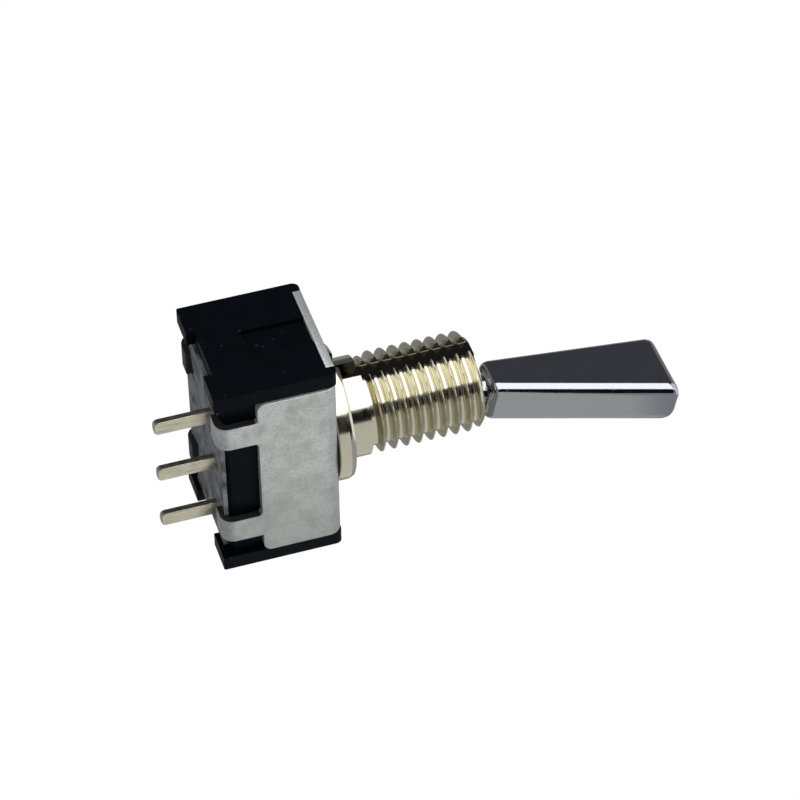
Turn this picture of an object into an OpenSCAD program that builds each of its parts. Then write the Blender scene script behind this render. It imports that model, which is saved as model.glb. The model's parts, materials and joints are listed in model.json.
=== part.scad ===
// Miniature single-pole toggle switch with a flat paddle lever, a threaded panel bushing,
// a moulded housing in a folded steel frame, and three offset solder pins.
// Millimetres, +Z up out of the panel. The origin is on the bushing's axis, in the face
// of its flange that meets the panel. X crosses the narrow side, and the lever swings in Y.

/* [Housing] */
// Length of the housing over its end flanges (Y)
housing_l = 13.46; // [12.6:0.02:17]
// Width of the end flanges (X)
housing_w = 8.0; // [7.3:0.1:11]
// Height from the frame's top face to the lower edge of the flanges (Z)
housing_h = 7.15; // [6.9:0.05:10]
// Thickness of each end flange (Y)
flange_t = 0.93; // [0.7:0.01:1.2]
// How far the body's side walls stand back from the frame's sides (X)
side_recess = 0.05; // [0.02:0.01:0.2]
// Thickness of the housing's roof, under the frame's top
roof_t = 1.0; // [0.8:0.05:1.5]
// Radius of the rounded upper corners of the end flanges
flange_corner_r = 0.4; // [0.1:0.05:0.8]
// Radius of the small rounds on the lower corners of the end flanges
flange_foot_r = 0.12; // [0.05:0.01:0.3]
// Width of the shallow pocket in each end face
pocket_w = 2.05; // [1.2:0.05:3]
// Height of the shallow pocket in each end face, from its foot to the frame's top face
pocket_h = 4.2; // [2:0.1:5]
// Depth of the shallow pocket in each end face
pocket_depth = 0.25; // [0.1:0.05:0.4]
// Width of the notch in the lower edge of each end flange
notch_w = 3.7; // [2:0.1:4.5]
// Depth of the notch in the lower edge of each end flange
notch_depth = 0.5; // [0.2:0.05:0.54]

/* [Frame] */
// Thickness of the frame's steel sheet
sheet_t = 0.5; // [0.4:0.05:0.6]
// How far the frame's sides stand proud of the end flanges
frame_proud = 0.15; // [0.1:0.05:0.3]
// Outside radius of the frame's bends
bend_r = 0.8; // [0.6:0.05:1]
// Height of the frame's broad sides, from its top face
side_h = 4.75; // [3:0.05:5.5]
// Width of the tabs that reach over the end flanges
tab_w = 6.6; // [5:0.1:6.8]
// Width of each leg (Y)
leg_w = 1.6; // [1:0.1:2.2]
// Distance between the centres of the two legs on a side (Y)
leg_pitch = 7.3; // [6:0.1:8.4]
// Distance between the facing ends of the feet under the base (X)
foot_gap = 5.2; // [4.4:0.1:5.8]
// Outside radius of the bend between a leg and its foot
foot_bend_r = 0.75; // [0.6:0.05:0.9]
// Radius of the broad sides' lower corners
side_corner_r = 0.5; // [0.1:0.05:0.8]
// Radius at the top of the cut-out between the legs
cutout_r = 0.25; // [0.1:0.05:0.5]

/* [Base and seal] */
// Thickness of the base plate
base_t = 0.8; // [0.6:0.05:1]
// How far the base's outer face lies inside the lower edge of the end flanges
base_inset = 0.55; // [0.55:0.01:0.8]
// Thickness of the housing walls around the base plate
base_wall = 0.55; // [0.45:0.05:0.8]
// Height of the locating boss on the inside of the base
boss_h = 0.5; // [0.3:0.05:0.7]
// Thickness of the sealing resin over the base
seal_t = 0.25; // [0.1:0.05:0.4]
// Thickness of the resin that fills the end notches
notch_fill_t = 0.06; // [0.03:0.01:0.2]

/* [Pins] */
// Distance between neighbouring pins (Y)
pin_pitch = 3.62; // [3.2:0.02:4.4]
// Distance of the pin row from the centre plane (X)
pin_row_x = 1.8; // [1.3:0.05:2]
// Width of a pin (Y)
pin_w = 0.9; // [0.7:0.05:1.1]
// Thickness of a pin (X)
pin_t = 0.42; // [0.3:0.02:0.5]
// Length of a pin below the base's outer face
pin_l = 3.6; // [2.5:0.1:5]
// Radius of the corners at a pin's tip
pin_tip_r = 0.3; // [0.05:0.05:0.35]

/* [Bushing] */
// Outside diameter of the thread
thread_d = 5.9; // [5.8:0.05:7.2]
// Length of the bushing above the panel face
bushing_l = 8.15; // [6:0.05:12]
// Diameter of the flange that meets the panel
flange_d = 8.06; // [7.6:0.02:10]
// Thickness of that flange
bushing_flange_t = 1.0; // [0.8:0.05:1.5]
// Height of the chamfer around the flange's panel face
flange_chamfer_h = 0.25; // [0.1:0.05:0.4]
// Width of that chamfer
flange_chamfer_w = 0.1; // [0.05:0.05:0.3]
// Diameter of the bushing's open end
bushing_tip_d = 5.24; // [4.9:0.02:5.5]
// Height of the chamfer at the open end
tip_chamfer_h = 0.33; // [0.2:0.01:0.6]
// Width of the keyway along the thread
keyway_w = 1.2; // [0.6:0.05:1.4]
// Depth of the keyway
keyway_depth = 0.5; // [0.15:0.05:0.6]
// Radius of the cutter that ran the keyway out at the flange
keyway_cutter_r = 1.5; // [1:0.1:4]
// Diameter of the spigot that passes through the frame
spigot_d = 5.8; // [5.4:0.05:6.4]
// Diameter of the spigot's staked rim, inside the housing
staked_d = 6.8; // [6.6:0.05:7.4]
// Thickness of the staked rim
staked_t = 0.4; // [0.2:0.05:0.6]

/* [Lever] */
// Angle of the lever from the bushing's axis in either position (degrees)
lever_tilt = 12; // [8:1:14]
// Height of the lever's pivot above the panel face
pivot_h = 3.5; // [3:0.1:5]
// Diameter of the lever's ball
ball_d = 3.5; // [3:0.1:4.2]
// Distance of the ball's retaining ring below the pivot
retainer_top = 1.1; // [0.9:0.05:1.3]
// Height of that ring
retainer_h = 0.8; // [0.5:0.05:1]
// Diameter of the two trunnions on the ball
trunnion_d = 0.7; // [0.5:0.05:0.9]
// How far each trunnion stands out of the ball
trunnion_l = 0.45; // [0.3:0.05:0.5]
// Diameter of the round neck above the ball
neck_d = 1.88; // [1.5:0.02:2]
// Diameter of the stem below the ball
stem_d = 1.9; // [1.7:0.05:2]
// Gap between the bushing's end and the handle, along the lever
handle_gap = 0.71; // [0.5:0.01:1.5]
// Length of the handle
handle_l = 11.82; // [7:0.01:16]
// Width of the handle at its base (X)
handle_base_w = 2.78; // [2:0.02:3]
// Width of the handle at its tip (X)
handle_tip_w = 4.86; // [3:0.02:5.4]
// Thickness of the handle (Y)
handle_t = 2.7; // [2:0.02:3]
// Radius of the rounds along the handle's edges
handle_edge_r = 0.6; // [0.2:0.05:0.8]
// Length of the spigot that the handle is pressed on
handle_spigot_l = 4.0; // [2:0.1:5]
// Diameter of that spigot
handle_spigot_d = 1.4; // [1:0.05:1.6]

/* [Plunger and spring] */
// Diameter of the plunger
plunger_d = 1.2; // [0.9:0.05:1.3]
// Length of the plunger inside the stem
plunger_guide_l = 1.6; // [1:0.1:2]
// How far the plunger's round nose stands out of the stem
plunger_out = 1.0; // [0.8:0.05:1.3]
// Distance from the pivot to the upper end of the stem's bore
spring_bore_s = 1.2; // [0.9:0.05:1.6]
// Diameter of the spring's wire
spring_wire_d = 0.16; // [0.1:0.01:0.2]
// Number of turns in the spring
spring_turns = 8; // [5:1:12]

/* [Contacts] */
// Angle of the rocker from level in either position (degrees)
rocker_tilt = 8; // [6:0.5:9]
// Width of the rocker (X)
rocker_w = 2.0; // [1.8:0.1:2.6]
// Thickness of the rocker's sheet
rocker_t = 0.35; // [0.25:0.05:0.4]
// How far the rocker runs past the middle of its contacts
rocker_overrun = 0.5; // [0.45:0.05:0.7]
// Distance of the rocker's underside from its pivot
rocker_offset = 0.16; // [0.1:0.01:0.2]
// Thickness of the rocker's two ears (X)
ear_t = 0.25; // [0.2:0.01:0.3]
// Width of the rocker's ears (Y)
ear_w = 0.8; // [0.7:0.05:1]
// How far the ears reach below the rocker's pivot
ear_drop = 0.28; // [0.2:0.01:0.32]
// Diameter of the round ridge that the rocker sits on
ridge_d = 0.6; // [0.5:0.05:0.6]
// Thickness of the web under that ridge
web_w = 0.4; // [0.3:0.05:0.5]
// Diameter of the contact rivets on the rocker
moving_contact_d = 0.9; // [0.7:0.05:1]
// Diameter of the contact rivets on the pins
fixed_contact_d = 1.0; // [0.8:0.05:1.2]
// Height of each contact rivet's head
contact_h = 0.3; // [0.2:0.05:0.35]
// Width of the shelf that each pin carries inside (Y)
shelf_w = 1.2; // [1:0.05:1.4]
// Height of the shelves over the base's boss
shelf_rise = 0.85; // [0.84:0.01:1]

/* [Clearances] */
// Between the lever's ball or the rocker's groove and what it turns in
running_gap = 0.05; // [0.03:0.01:0.08]
// Between a trunnion and its slot
trunnion_gap = 0.03; // [0.02:0.01:0.05]
// Between the plunger and the stem's bore
sliding_gap = 0.03; // [0.02:0.01:0.05]
// Between the stem's swing and the bores around it
swing_gap = 0.13; // [0.08:0.01:0.25]
// Between the sheet frame and the moulding inside it
frame_gap = 0.05; // [0.02:0.01:0.1]
// Between the spigot and the frame's hole, and around the staked rim
spigot_gap = 0.05; // [0.02:0.01:0.15]
// Around the shelves and the rocker, inside the housing
cavity_gap = 0.59; // [0.4:0.01:0.8]
// Between the rocker's ends and the housing's end walls
end_gap = 0.78; // [0.5:0.01:0.9]
// Between closed contacts, and at each end of the spring
contact_gap = 0.02; // [0.01:0.01:0.04]
// Between the rocker's ears and the ends of its ridge
ear_gap = 0.03; // [0.02:0.01:0.06]
// Between the plunger's nose and the level rocker
plunger_gap = 0.06; // [0.05:0.01:0.1]
// Between the resin and the feet of the frame
seal_gap = 0.1; // [0.05:0.01:0.2]

/* [Hidden] */
$fn = 48;

// How far a cutting shape runs past the face that it opens
over = 0.1;

// Sides of a rounded handle edge, of the spring's wire, and of one turn of the spring
edge_sides = 32;
wire_sides = 6;
turn_steps = 16;

// Levels along Z, from the panel face down
plate_top_z = -bushing_flange_t;
plate_bottom_z = plate_top_z - sheet_t;
roof_z = plate_bottom_z - roof_t;
flange_end_z = plate_top_z - housing_h;
base_outer_z = flange_end_z + base_inset;
base_top_z = base_outer_z + base_t;
boss_top_z = base_top_z + boss_h;

// The mechanism stands on the base: shelf, fixed contact, rocker, then the plunger's nose
shelf_z = boss_top_z + shelf_rise;
shelf_top_z = shelf_z + pin_t;
closed_arm_z = shelf_top_z + 2 * contact_h + contact_gap;
rocker_z = closed_arm_z - rocker_offset;
rocker_valley = (rocker_offset + rocker_t) / cos(rocker_tilt);
rocker_under = rocker_offset / cos(rocker_tilt);
rocker_l = pin_pitch + rocker_overrun;
plunger_reach = pivot_h - (rocker_z + rocker_valley + plunger_gap);

// Frame
frame_outer_x = housing_w / 2 + frame_proud;
frame_l = housing_l - 2 * flange_t - 2 * frame_gap;

// Housing
body_w = 2 * (frame_outer_x - sheet_t - side_recess);
body_l = housing_l - 2 * flange_t;
body_corner_r = bend_r - sheet_t + frame_gap;
body_foot_r = foot_bend_r - sheet_t + frame_gap;
cavity_w = 2 * (pin_row_x + pin_t / 2 + cavity_gap);
cavity_l = 2 * (rocker_l + end_gap);
base_w = body_w - 2 * base_wall;
base_l = body_l - 2 * base_wall + 2 * frame_gap;

// Lever, measured from its pivot
ball_r = ball_d / 2;
seat_r = ball_r + running_gap;
trunnion_reach = ball_r + trunnion_l;
slot_r = trunnion_d / 2 + trunnion_gap;
slot_reach = trunnion_reach + running_gap;
stem_l = plunger_reach - plunger_out;
handle_base_s = bushing_l - pivot_h + handle_gap;
bore_r = plunger_d / 2 + sliding_gap;
spring_bottom_s = stem_l - plunger_guide_l;

// Lower face of the retaining ring, measured down from the pivot
retainer_bottom = retainer_top + retainer_h;

// Radius that a round stem of diameter d sweeps at a distance s from the pivot, with its gap
function swing_r(d, s) = d / 2 / cos(lever_tilt) + s * tan(lever_tilt) + swing_gap;

// Rectangle centred on the origin, with its four corners rounded
module rounded_rect(size_x, size_y, r) {
    square([size_x - 2 * r, size_y], center = true);
    square([size_x, size_y - 2 * r], center = true);
    for (sx = [-1, 1], sy = [-1, 1])
        translate([sx * (size_x / 2 - r), sy * (size_y / 2 - r)]) circle(r);
}

// Extrudes an outline drawn in X and Z along Y, from y0 over a length
module along_y(y0, length) {
    translate([0, y0 + length, 0]) rotate([90, 0, 0]) linear_extrude(length) children();
}

// Extrudes an outline drawn in Y and Z along X, centred on x0
module along_x(x0, length) {
    translate([x0 - length / 2, 0, 0]) rotate([90, 0, 90]) linear_extrude(length) children();
}

// Box given by its low and high corners
module box(low, high) {
    translate(low) cube(high - low);
}

// Cylinder along X, centred on the origin
module bar_x(r, length) {
    rotate([0, 90, 0]) cylinder(h = length, r = r, center = true);
}

// Moves its children from the upright lever's frame, with the pivot at the origin, to rest
module on_lever() {
    translate([0, 0, pivot_h]) rotate([-lever_tilt, 0, 0]) children();
}

// Moves its children from the level rocker's frame, with the pivot at the origin, to rest
module on_rocker() {
    translate([0, 0, rocker_z]) rotate([rocker_tilt, 0, 0]) children();
}

// Outline in X and Z of a moulding that spans low_z to high_z, rounded at its upper corners
// and nearly sharp at its lower ones
module moulding_outline(width, low_z, high_z, top_r, foot_r) {
    mid_z = (low_z + high_z) / 2;
    half_h = high_z - mid_z;
    translate([0, high_z - half_h / 2]) rounded_rect(width, half_h, top_r);
    translate([0, low_z + half_h / 2]) rounded_rect(width, half_h, foot_r);
    translate([0, mid_z]) square([width, half_h], center = true);
}

module end_flange() {
    notch_top_z = flange_end_z + notch_depth;
    pocket_z = plate_top_z - pocket_h;
    difference() {
        along_y(housing_l / 2 - flange_t, flange_t)
            moulding_outline(housing_w, flange_end_z, plate_top_z, flange_corner_r, flange_foot_r);
        // seat for the frame's end tab, between the two corner posts
        box([-tab_w / 2 - frame_gap, 0, plate_bottom_z],
            [tab_w / 2 + frame_gap, housing_l, plate_top_z + over]);
        box([-notch_w / 2, 0, flange_end_z - over], [notch_w / 2, housing_l, notch_top_z]);
        box([-pocket_w / 2, housing_l / 2 - pocket_depth, pocket_z],
            [pocket_w / 2, housing_l, plate_top_z + over]);
    }
}

module housing() {
    roof_hole_r = swing_r(stem_d, pivot_h - roof_z);
    color("#202124") difference() {
        union() {
            // the body fits inside the frame's bends
            along_y(-body_l / 2, body_l)
                moulding_outline(body_w, base_outer_z, plate_bottom_z, body_corner_r, body_foot_r);
            end_flange();
            mirror([0, 1, 0]) end_flange();
        }
        // contact chamber, and the wider opening below it for the base plate
        box([-cavity_w / 2, -cavity_l / 2, base_outer_z - over], [cavity_w / 2, cavity_l / 2, roof_z]);
        box([-base_w / 2, -base_l / 2, base_outer_z - over], [base_w / 2, base_l / 2, base_top_z]);
        // way through the roof for the lever, and the seat of the staked rim
        translate([0, 0, roof_z - over]) cylinder(h = roof_t + 2 * over, r = roof_hole_r);
        translate([0, 0, plate_bottom_z - staked_t - spigot_gap])
            cylinder(h = staked_t + spigot_gap + over, r = staked_d / 2 + 2 * spigot_gap);
    }
}

// Block in the section of a pin, from z0 to z1, that cuts its way through the base
module pin_cutter(y, z0, z1) {
    box([pin_row_x - pin_t / 2, y - pin_w / 2, z0], [pin_row_x + pin_t / 2, y + pin_w / 2, z1]);
}

module base() {
    boss_w = cavity_w - 2 * frame_gap;
    boss_l = cavity_l - 2 * frame_gap;
    plate_w = base_w - 2 * frame_gap;
    plate_l = base_l - 2 * frame_gap;
    color("#2a2a2c") difference() {
        union() {
            box([-plate_w / 2, -plate_l / 2, base_outer_z], [plate_w / 2, plate_l / 2, base_top_z]);
            box([-boss_w / 2, -boss_l / 2, base_outer_z], [boss_w / 2, boss_l / 2, boss_top_z]);
        }
        for (i = [-1 : 1]) pin_cutter(i * pin_pitch, base_outer_z - over, boss_top_z + over);
    }
}

module terminal_seal() {
    wide = body_w - 2 * frame_gap;
    narrow = foot_gap - 2 * seal_gap;
    pocket_l = leg_w + 2 * seal_gap;
    notch_z = flange_end_z + notch_depth;
    fill_w = notch_w - 2 * frame_gap;
    fill_l = housing_l - 2 * seal_gap;
    color("#7d7f82") difference() {
        union() {
            box([-wide / 2, -body_l / 2, base_outer_z - seal_t], [wide / 2, body_l / 2, base_outer_z]);
            box([-fill_w / 2, -fill_l / 2, notch_z - notch_fill_t], [fill_w / 2, fill_l / 2, notch_z]);
        }
        // the resin stops short of the four feet
        for (sx = [-1, 1], sy = [-1, 1])
            translate([sx * (narrow + wide) / 2, sy * leg_pitch / 2, base_outer_z])
                cube([wide, pocket_l, 2 * (seal_t + over)], center = true);
        for (i = [-1 : 1])
            pin_cutter(i * pin_pitch, base_outer_z - seal_t - over, base_outer_z + over);
    }
}

// Quarter of a ring about the origin, in the quadrant where both coordinates are positive
module quarter_ring(r_out, r_in) {
    intersection() {
        difference() {
            circle(r_out);
            circle(r_in);
        }
        square(r_out);
    }
}

// One side of the frame in X and Z: top sheet, bend and side down to z_end
module side_section(z_end) {
    bend_x = frame_outer_x - bend_r;
    bend_z = plate_top_z - bend_r;
    translate([0, plate_bottom_z]) square([bend_x, sheet_t]);
    translate([bend_x, bend_z]) quarter_ring(bend_r, bend_r - sheet_t);
    translate([frame_outer_x - sheet_t, z_end]) square([sheet_t, bend_z - z_end]);
}

// One leg in X and Z: straight down, then turned in under the base
module leg_section() {
    foot_z = base_outer_z - sheet_t;
    bend_x = frame_outer_x - foot_bend_r;
    bend_z = foot_z + foot_bend_r;
    translate([frame_outer_x - sheet_t, bend_z]) square([sheet_t, plate_top_z - bend_r - bend_z]);
    translate([bend_x, bend_z]) mirror([0, 1]) quarter_ring(foot_bend_r, foot_bend_r - sheet_t);
    translate([foot_gap / 2, foot_z]) square([bend_x - foot_gap / 2, sheet_t]);
}

// Outline of a broad side in Y and Z, down from the top sheet to its rounded lower corners
module side_outline() {
    side_end_z = plate_top_z - side_h;
    difference() {
        translate([0, side_end_z + frame_l / 2]) rounded_rect(frame_l, frame_l, side_corner_r);
        translate([-frame_l, plate_top_z]) square([2 * frame_l, frame_l]);
    }
}

module frame_side() {
    intersection() {
        along_y(-frame_l / 2, frame_l) side_section(plate_top_z - side_h);
        along_x(frame_outer_x / 2, frame_outer_x) side_outline();
    }
    for (sy = [-1, 1]) along_y(sy * leg_pitch / 2 - leg_w / 2, leg_w) leg_section();
    // fillets between the cut-out's top edge and the legs
    fillet_y = leg_pitch / 2 - leg_w / 2 - cutout_r;
    fillet_z = plate_top_z - side_h - cutout_r;
    for (far = [0, 1]) mirror([0, far, 0])
        along_x(frame_outer_x - sheet_t / 2, sheet_t)
            translate([fillet_y, fillet_z]) difference() {
                square(cutout_r);
                circle(cutout_r);
            }
}

module frame() {
    color("#b9bcbd") difference() {
        union() {
            frame_side();
            mirror([1, 0, 0]) frame_side();
            box([-tab_w / 2, -housing_l / 2, plate_bottom_z], [tab_w / 2, housing_l / 2, plate_top_z]);
        }
        translate([0, 0, plate_bottom_z - over])
            cylinder(h = sheet_t + 2 * over, r = spigot_d / 2 + spigot_gap);
    }
}

// Solid of the bushing before its bore is cut
module bushing_blank() {
    straight_end_z = bushing_l - tip_chamfer_h;
    translate([0, 0, plate_bottom_z - staked_t]) cylinder(h = staked_t, r = staked_d / 2);
    translate([0, 0, plate_bottom_z - over]) cylinder(h = sheet_t + 2 * over, r = spigot_d / 2);
    translate([0, 0, plate_top_z])
        cylinder(h = bushing_flange_t - flange_chamfer_h, r = flange_d / 2);
    translate([0, 0, -flange_chamfer_h])
        cylinder(h = flange_chamfer_h, r1 = flange_d / 2, r2 = flange_d / 2 - flange_chamfer_w);
    translate([0, 0, -over]) cylinder(h = straight_end_z + over, r = thread_d / 2);
    translate([0, 0, straight_end_z])
        cylinder(h = tip_chamfer_h, r1 = thread_d / 2, r2 = bushing_tip_d / 2);
}

// Flat-floored keyway along the thread, run out at the flange by a round cutter
module keyway() {
    floor_y = -(thread_d / 2 - keyway_depth);
    runout = sqrt(pow(keyway_cutter_r, 2) - pow(keyway_cutter_r - keyway_depth, 2));
    start_z = over + runout;
    box([-keyway_w / 2, floor_y - thread_d, start_z], [keyway_w / 2, floor_y, bushing_l + over]);
    translate([0, floor_y - keyway_cutter_r, start_z]) bar_x(keyway_cutter_r, keyway_w);
}

// Ball seat, the two flared bores that let the lever swing, and the trunnion slots
module bushing_bore() {
    bottom_z = plate_bottom_z - staked_t - over;
    depth = pivot_h - bottom_z;
    rise = bushing_l + over - pivot_h;
    translate([0, 0, pivot_h]) sphere(seat_r);
    translate([0, 0, bottom_z]) cylinder(h = depth, r = seat_r);
    translate([0, 0, bottom_z]) cylinder(h = depth, r1 = swing_r(stem_d, depth), r2 = swing_r(stem_d, 0));
    translate([0, 0, pivot_h]) cylinder(h = rise, r1 = swing_r(neck_d, 0), r2 = swing_r(neck_d, rise));
    box([-slot_reach, -slot_r, bottom_z], [slot_reach, slot_r, pivot_h]);
    translate([0, 0, pivot_h]) bar_x(slot_r, 2 * slot_reach);
}

module bushing() {
    color("#cfcabb") difference() {
        bushing_blank();
        bushing_bore();
        keyway();
    }
}

module lever() {
    color("#d5d8da") on_lever() difference() {
        union() {
            sphere(ball_r);
            bar_x(trunnion_d / 2, 2 * trunnion_reach);
            cylinder(h = handle_base_s, r = neck_d / 2);
            cylinder(h = handle_base_s + handle_spigot_l, r = handle_spigot_d / 2);
            translate([0, 0, -stem_l]) cylinder(h = stem_l, r = stem_d / 2);
        }
        translate([0, 0, -stem_l - over]) cylinder(h = stem_l + over - spring_bore_s, r = bore_r);
    }
}

// Handle: a paddle that widens towards its tip, rounded on every edge, pressed on the lever
module handle() {
    spread_y = handle_t / 2 - handle_edge_r;
    color("#dfe2e4") on_lever() translate([0, 0, handle_base_s]) difference() {
        hull() for (sx = [-1, 1], sy = [-1, 1]) {
            translate([sx * (handle_base_w / 2 - handle_edge_r), sy * spread_y, handle_edge_r])
                sphere(handle_edge_r, $fn = edge_sides);
            translate([sx * (handle_tip_w / 2 - handle_edge_r), sy * spread_y, handle_l - handle_edge_r])
                sphere(handle_edge_r, $fn = edge_sides);
        }
        translate([0, 0, -over]) cylinder(h = handle_spigot_l + over, r = handle_spigot_d / 2);
    }
}

// Ring pressed into the bushing below the ball, with a lug under each trunnion
module pivot_retainer() {
    inner_r = max(swing_r(stem_d, retainer_bottom), sqrt(pow(seat_r, 2) - pow(retainer_top, 2)));
    color("#e8e4d4") translate([0, 0, pivot_h]) difference() {
        union() {
            translate([0, 0, -retainer_bottom]) cylinder(h = retainer_h, r = seat_r);
            box([-slot_reach, -slot_r, -retainer_bottom], [slot_reach, slot_r, -slot_r]);
        }
        translate([0, 0, -retainer_bottom - over])
            cylinder(h = retainer_bottom + over, r = inner_r);
        sphere(seat_r);
    }
}

module plunger() {
    nose_s = plunger_reach - plunger_d / 2;
    color("#e6e2d2") on_lever() {
        translate([0, 0, -nose_s]) cylinder(h = nose_s - spring_bottom_s, r = plunger_d / 2);
        translate([0, 0, -nose_s]) sphere(plunger_d / 2);
    }
}

// Closed helical tube down the -Z axis from s0 to s1, with rings of points along it
module helix(s0, s1, coil_r, wire_r, turns, steps_per_turn, sides) {
    steps = turns * steps_per_turn;
    points = [for (i = [0 : steps], k = [0 : sides - 1])
        let (a = 360 * i / steps_per_turn, b = 360 * k / sides, r = coil_r + wire_r * cos(b))
        [r * cos(a), r * sin(a), -(s0 + (s1 - s0) * i / steps) + wire_r * sin(b)]];
    skin = [for (i = [0 : steps - 1], k = [0 : sides - 1])
        let (n = (k + 1) % sides)
        [i * sides + k, i * sides + n, (i + 1) * sides + n, (i + 1) * sides + k]];
    start = [[for (k = [sides - 1 : -1 : 0]) k]];
    end = [[for (k = [0 : sides - 1]) steps * sides + k]];
    polyhedron(points, concat(skin, start, end), convexity = 4);
}

module plunger_spring() {
    wire_r = spring_wire_d / 2;
    seat_gap = wire_r + contact_gap;
    coil_r = bore_r - sliding_gap - spring_wire_d;
    color("#9da2a6") on_lever()
        helix(spring_bore_s + seat_gap, spring_bottom_s - seat_gap, coil_r, wire_r,
            spring_turns, turn_steps, wire_sides);
}

// Side view of the rocker in Y and Z: two arms that rise from the valley over the pivot
module rocker_outline() {
    rise = rocker_l * tan(rocker_tilt);
    polygon([[0, rocker_valley], [rocker_l, rocker_valley + rise], [rocker_l, rocker_under + rise],
        [0, rocker_under], [-rocker_l, rocker_under + rise], [-rocker_l, rocker_valley + rise]]);
}

module rocker() {
    groove_l = rocker_w - 2 * ear_t;
    ear_top = rocker_valley - rocker_t / 2;
    color("#c9a25a") on_rocker() {
        difference() {
            along_x(0, rocker_w) rocker_outline();
            bar_x(ridge_d / 2 + running_gap, groove_l);
        }
        for (sx = [-1, 1])
            translate([sx * (rocker_w - ear_t) / 2, 0, (ear_top - ear_drop) / 2])
                cube([ear_t, ear_w, ear_top + ear_drop], center = true);
    }
}

// Rivet head under one arm of the rocker, square to the arm; side is -1 or 1 along Y
module rocker_contact(side) {
    color("#d9d9d6") on_rocker() rotate([side * rocker_tilt, 0, 0])
        translate([0, side * pin_pitch, rocker_offset - contact_h])
            cylinder(h = contact_h, r = moving_contact_d / 2);
}

// Rivet head on the shelf of one pin; side is -1 or 1 along Y
module fixed_contact(side) {
    color("#d9d9d6") translate([0, side * pin_pitch, shelf_top_z])
        cylinder(h = contact_h, r = fixed_contact_d / 2);
}

// Pin through the base at one place along Y, with a shelf inside that reaches to shelf_x
module terminal(y, shelf_x) {
    tip_z = base_outer_z - pin_l;
    blade_top_z = shelf_z - pin_t;
    blade_h = blade_top_z - tip_z;
    bend_x = pin_row_x - pin_t / 2 - pin_t;
    shelf_l = bend_x - shelf_x;
    translate([0, y, 0]) {
        // blade with its rounded tip
        along_x(pin_row_x, pin_t) {
            translate([0, tip_z + blade_h / 2]) rounded_rect(pin_w, blade_h, pin_tip_r);
            translate([-pin_w / 2, blade_top_z - pin_l / 2]) square([pin_w, pin_l / 2]);
        }
        // bend and shelf
        along_y(-shelf_w / 2, shelf_w) {
            translate([bend_x, blade_top_z]) quarter_ring(2 * pin_t, pin_t);
            translate([shelf_x, shelf_z]) square([shelf_l, pin_t]);
        }
    }
}

module terminal_common() {
    ridge_l = rocker_w - 2 * (ear_t + ear_gap);
    color("#c8c2b2") {
        terminal(0, -ridge_l / 2);
        box([-ridge_l / 2, -web_w / 2, shelf_z], [ridge_l / 2, web_w / 2, rocker_z]);
        translate([0, 0, rocker_z]) bar_x(ridge_d / 2, ridge_l);
    }
}

module terminal_a() {
    color("#c8c2b2") terminal(-pin_pitch, -shelf_w / 2);
}

module terminal_b() {
    color("#c8c2b2") terminal(pin_pitch, -shelf_w / 2);
}

housing();
base();
terminal_seal();
frame();
bushing();
lever();
handle();
pivot_retainer();
plunger();
plunger_spring();
rocker();
rocker_contact(-1);  // rocker_contact_a
rocker_contact(1);  // rocker_contact_b
fixed_contact(-1);  // fixed_contact_a
fixed_contact(1);  // fixed_contact_b
terminal_common();
terminal_a();
terminal_b();
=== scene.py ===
"""Looks of a miniature toggle switch: chromed paddle, threaded nickel bushing, black housing.

Every size in the classes is in millimetres, in the frame of the part: +Z out of the panel along
the bushing, X across the narrow side, and the lever swings in Y. A mesh is scaled to metres once,
where it is made.
"""

import json
import logging
import math
from dataclasses import dataclass
from enum import Enum
from typing import Any, Iterable

import bmesh
import bpy
from mathutils import Matrix, Vector, noise


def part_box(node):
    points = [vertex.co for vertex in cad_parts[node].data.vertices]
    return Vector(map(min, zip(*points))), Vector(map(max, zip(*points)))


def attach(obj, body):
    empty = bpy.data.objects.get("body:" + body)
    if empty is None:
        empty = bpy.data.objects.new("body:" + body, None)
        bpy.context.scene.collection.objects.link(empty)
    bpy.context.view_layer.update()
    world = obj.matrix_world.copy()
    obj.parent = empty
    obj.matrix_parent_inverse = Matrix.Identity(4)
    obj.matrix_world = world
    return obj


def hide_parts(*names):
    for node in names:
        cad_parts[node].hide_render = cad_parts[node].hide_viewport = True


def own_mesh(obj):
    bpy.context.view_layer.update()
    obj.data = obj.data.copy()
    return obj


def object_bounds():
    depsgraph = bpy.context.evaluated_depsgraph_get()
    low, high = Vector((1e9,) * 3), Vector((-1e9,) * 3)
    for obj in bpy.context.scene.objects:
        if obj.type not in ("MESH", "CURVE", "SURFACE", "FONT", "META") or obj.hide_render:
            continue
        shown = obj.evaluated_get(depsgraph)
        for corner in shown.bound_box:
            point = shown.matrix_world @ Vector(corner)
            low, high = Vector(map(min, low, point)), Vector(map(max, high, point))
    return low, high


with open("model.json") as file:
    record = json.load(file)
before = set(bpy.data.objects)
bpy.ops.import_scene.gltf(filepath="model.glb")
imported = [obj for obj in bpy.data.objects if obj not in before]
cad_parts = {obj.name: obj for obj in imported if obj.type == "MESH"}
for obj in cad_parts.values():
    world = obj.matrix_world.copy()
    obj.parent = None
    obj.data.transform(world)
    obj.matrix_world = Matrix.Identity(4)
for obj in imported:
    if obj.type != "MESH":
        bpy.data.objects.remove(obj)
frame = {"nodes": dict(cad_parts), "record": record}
CAD_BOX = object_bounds()

LOG = logging.getLogger("toggle_switch")
MM = 0.001
MAX_CHANNEL = 255
SRGB_KNEE = 0.04045
SRGB_SLOPE = 12.92
SRGB_OFFSET = 0.055
SRGB_GAMMA = 2.4
MERGE_MM = 0.0005
FLAT_DEG = 0.5
ThreeValues = tuple[float, float, float]
Rectangle = tuple[float, float, float, float]

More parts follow.
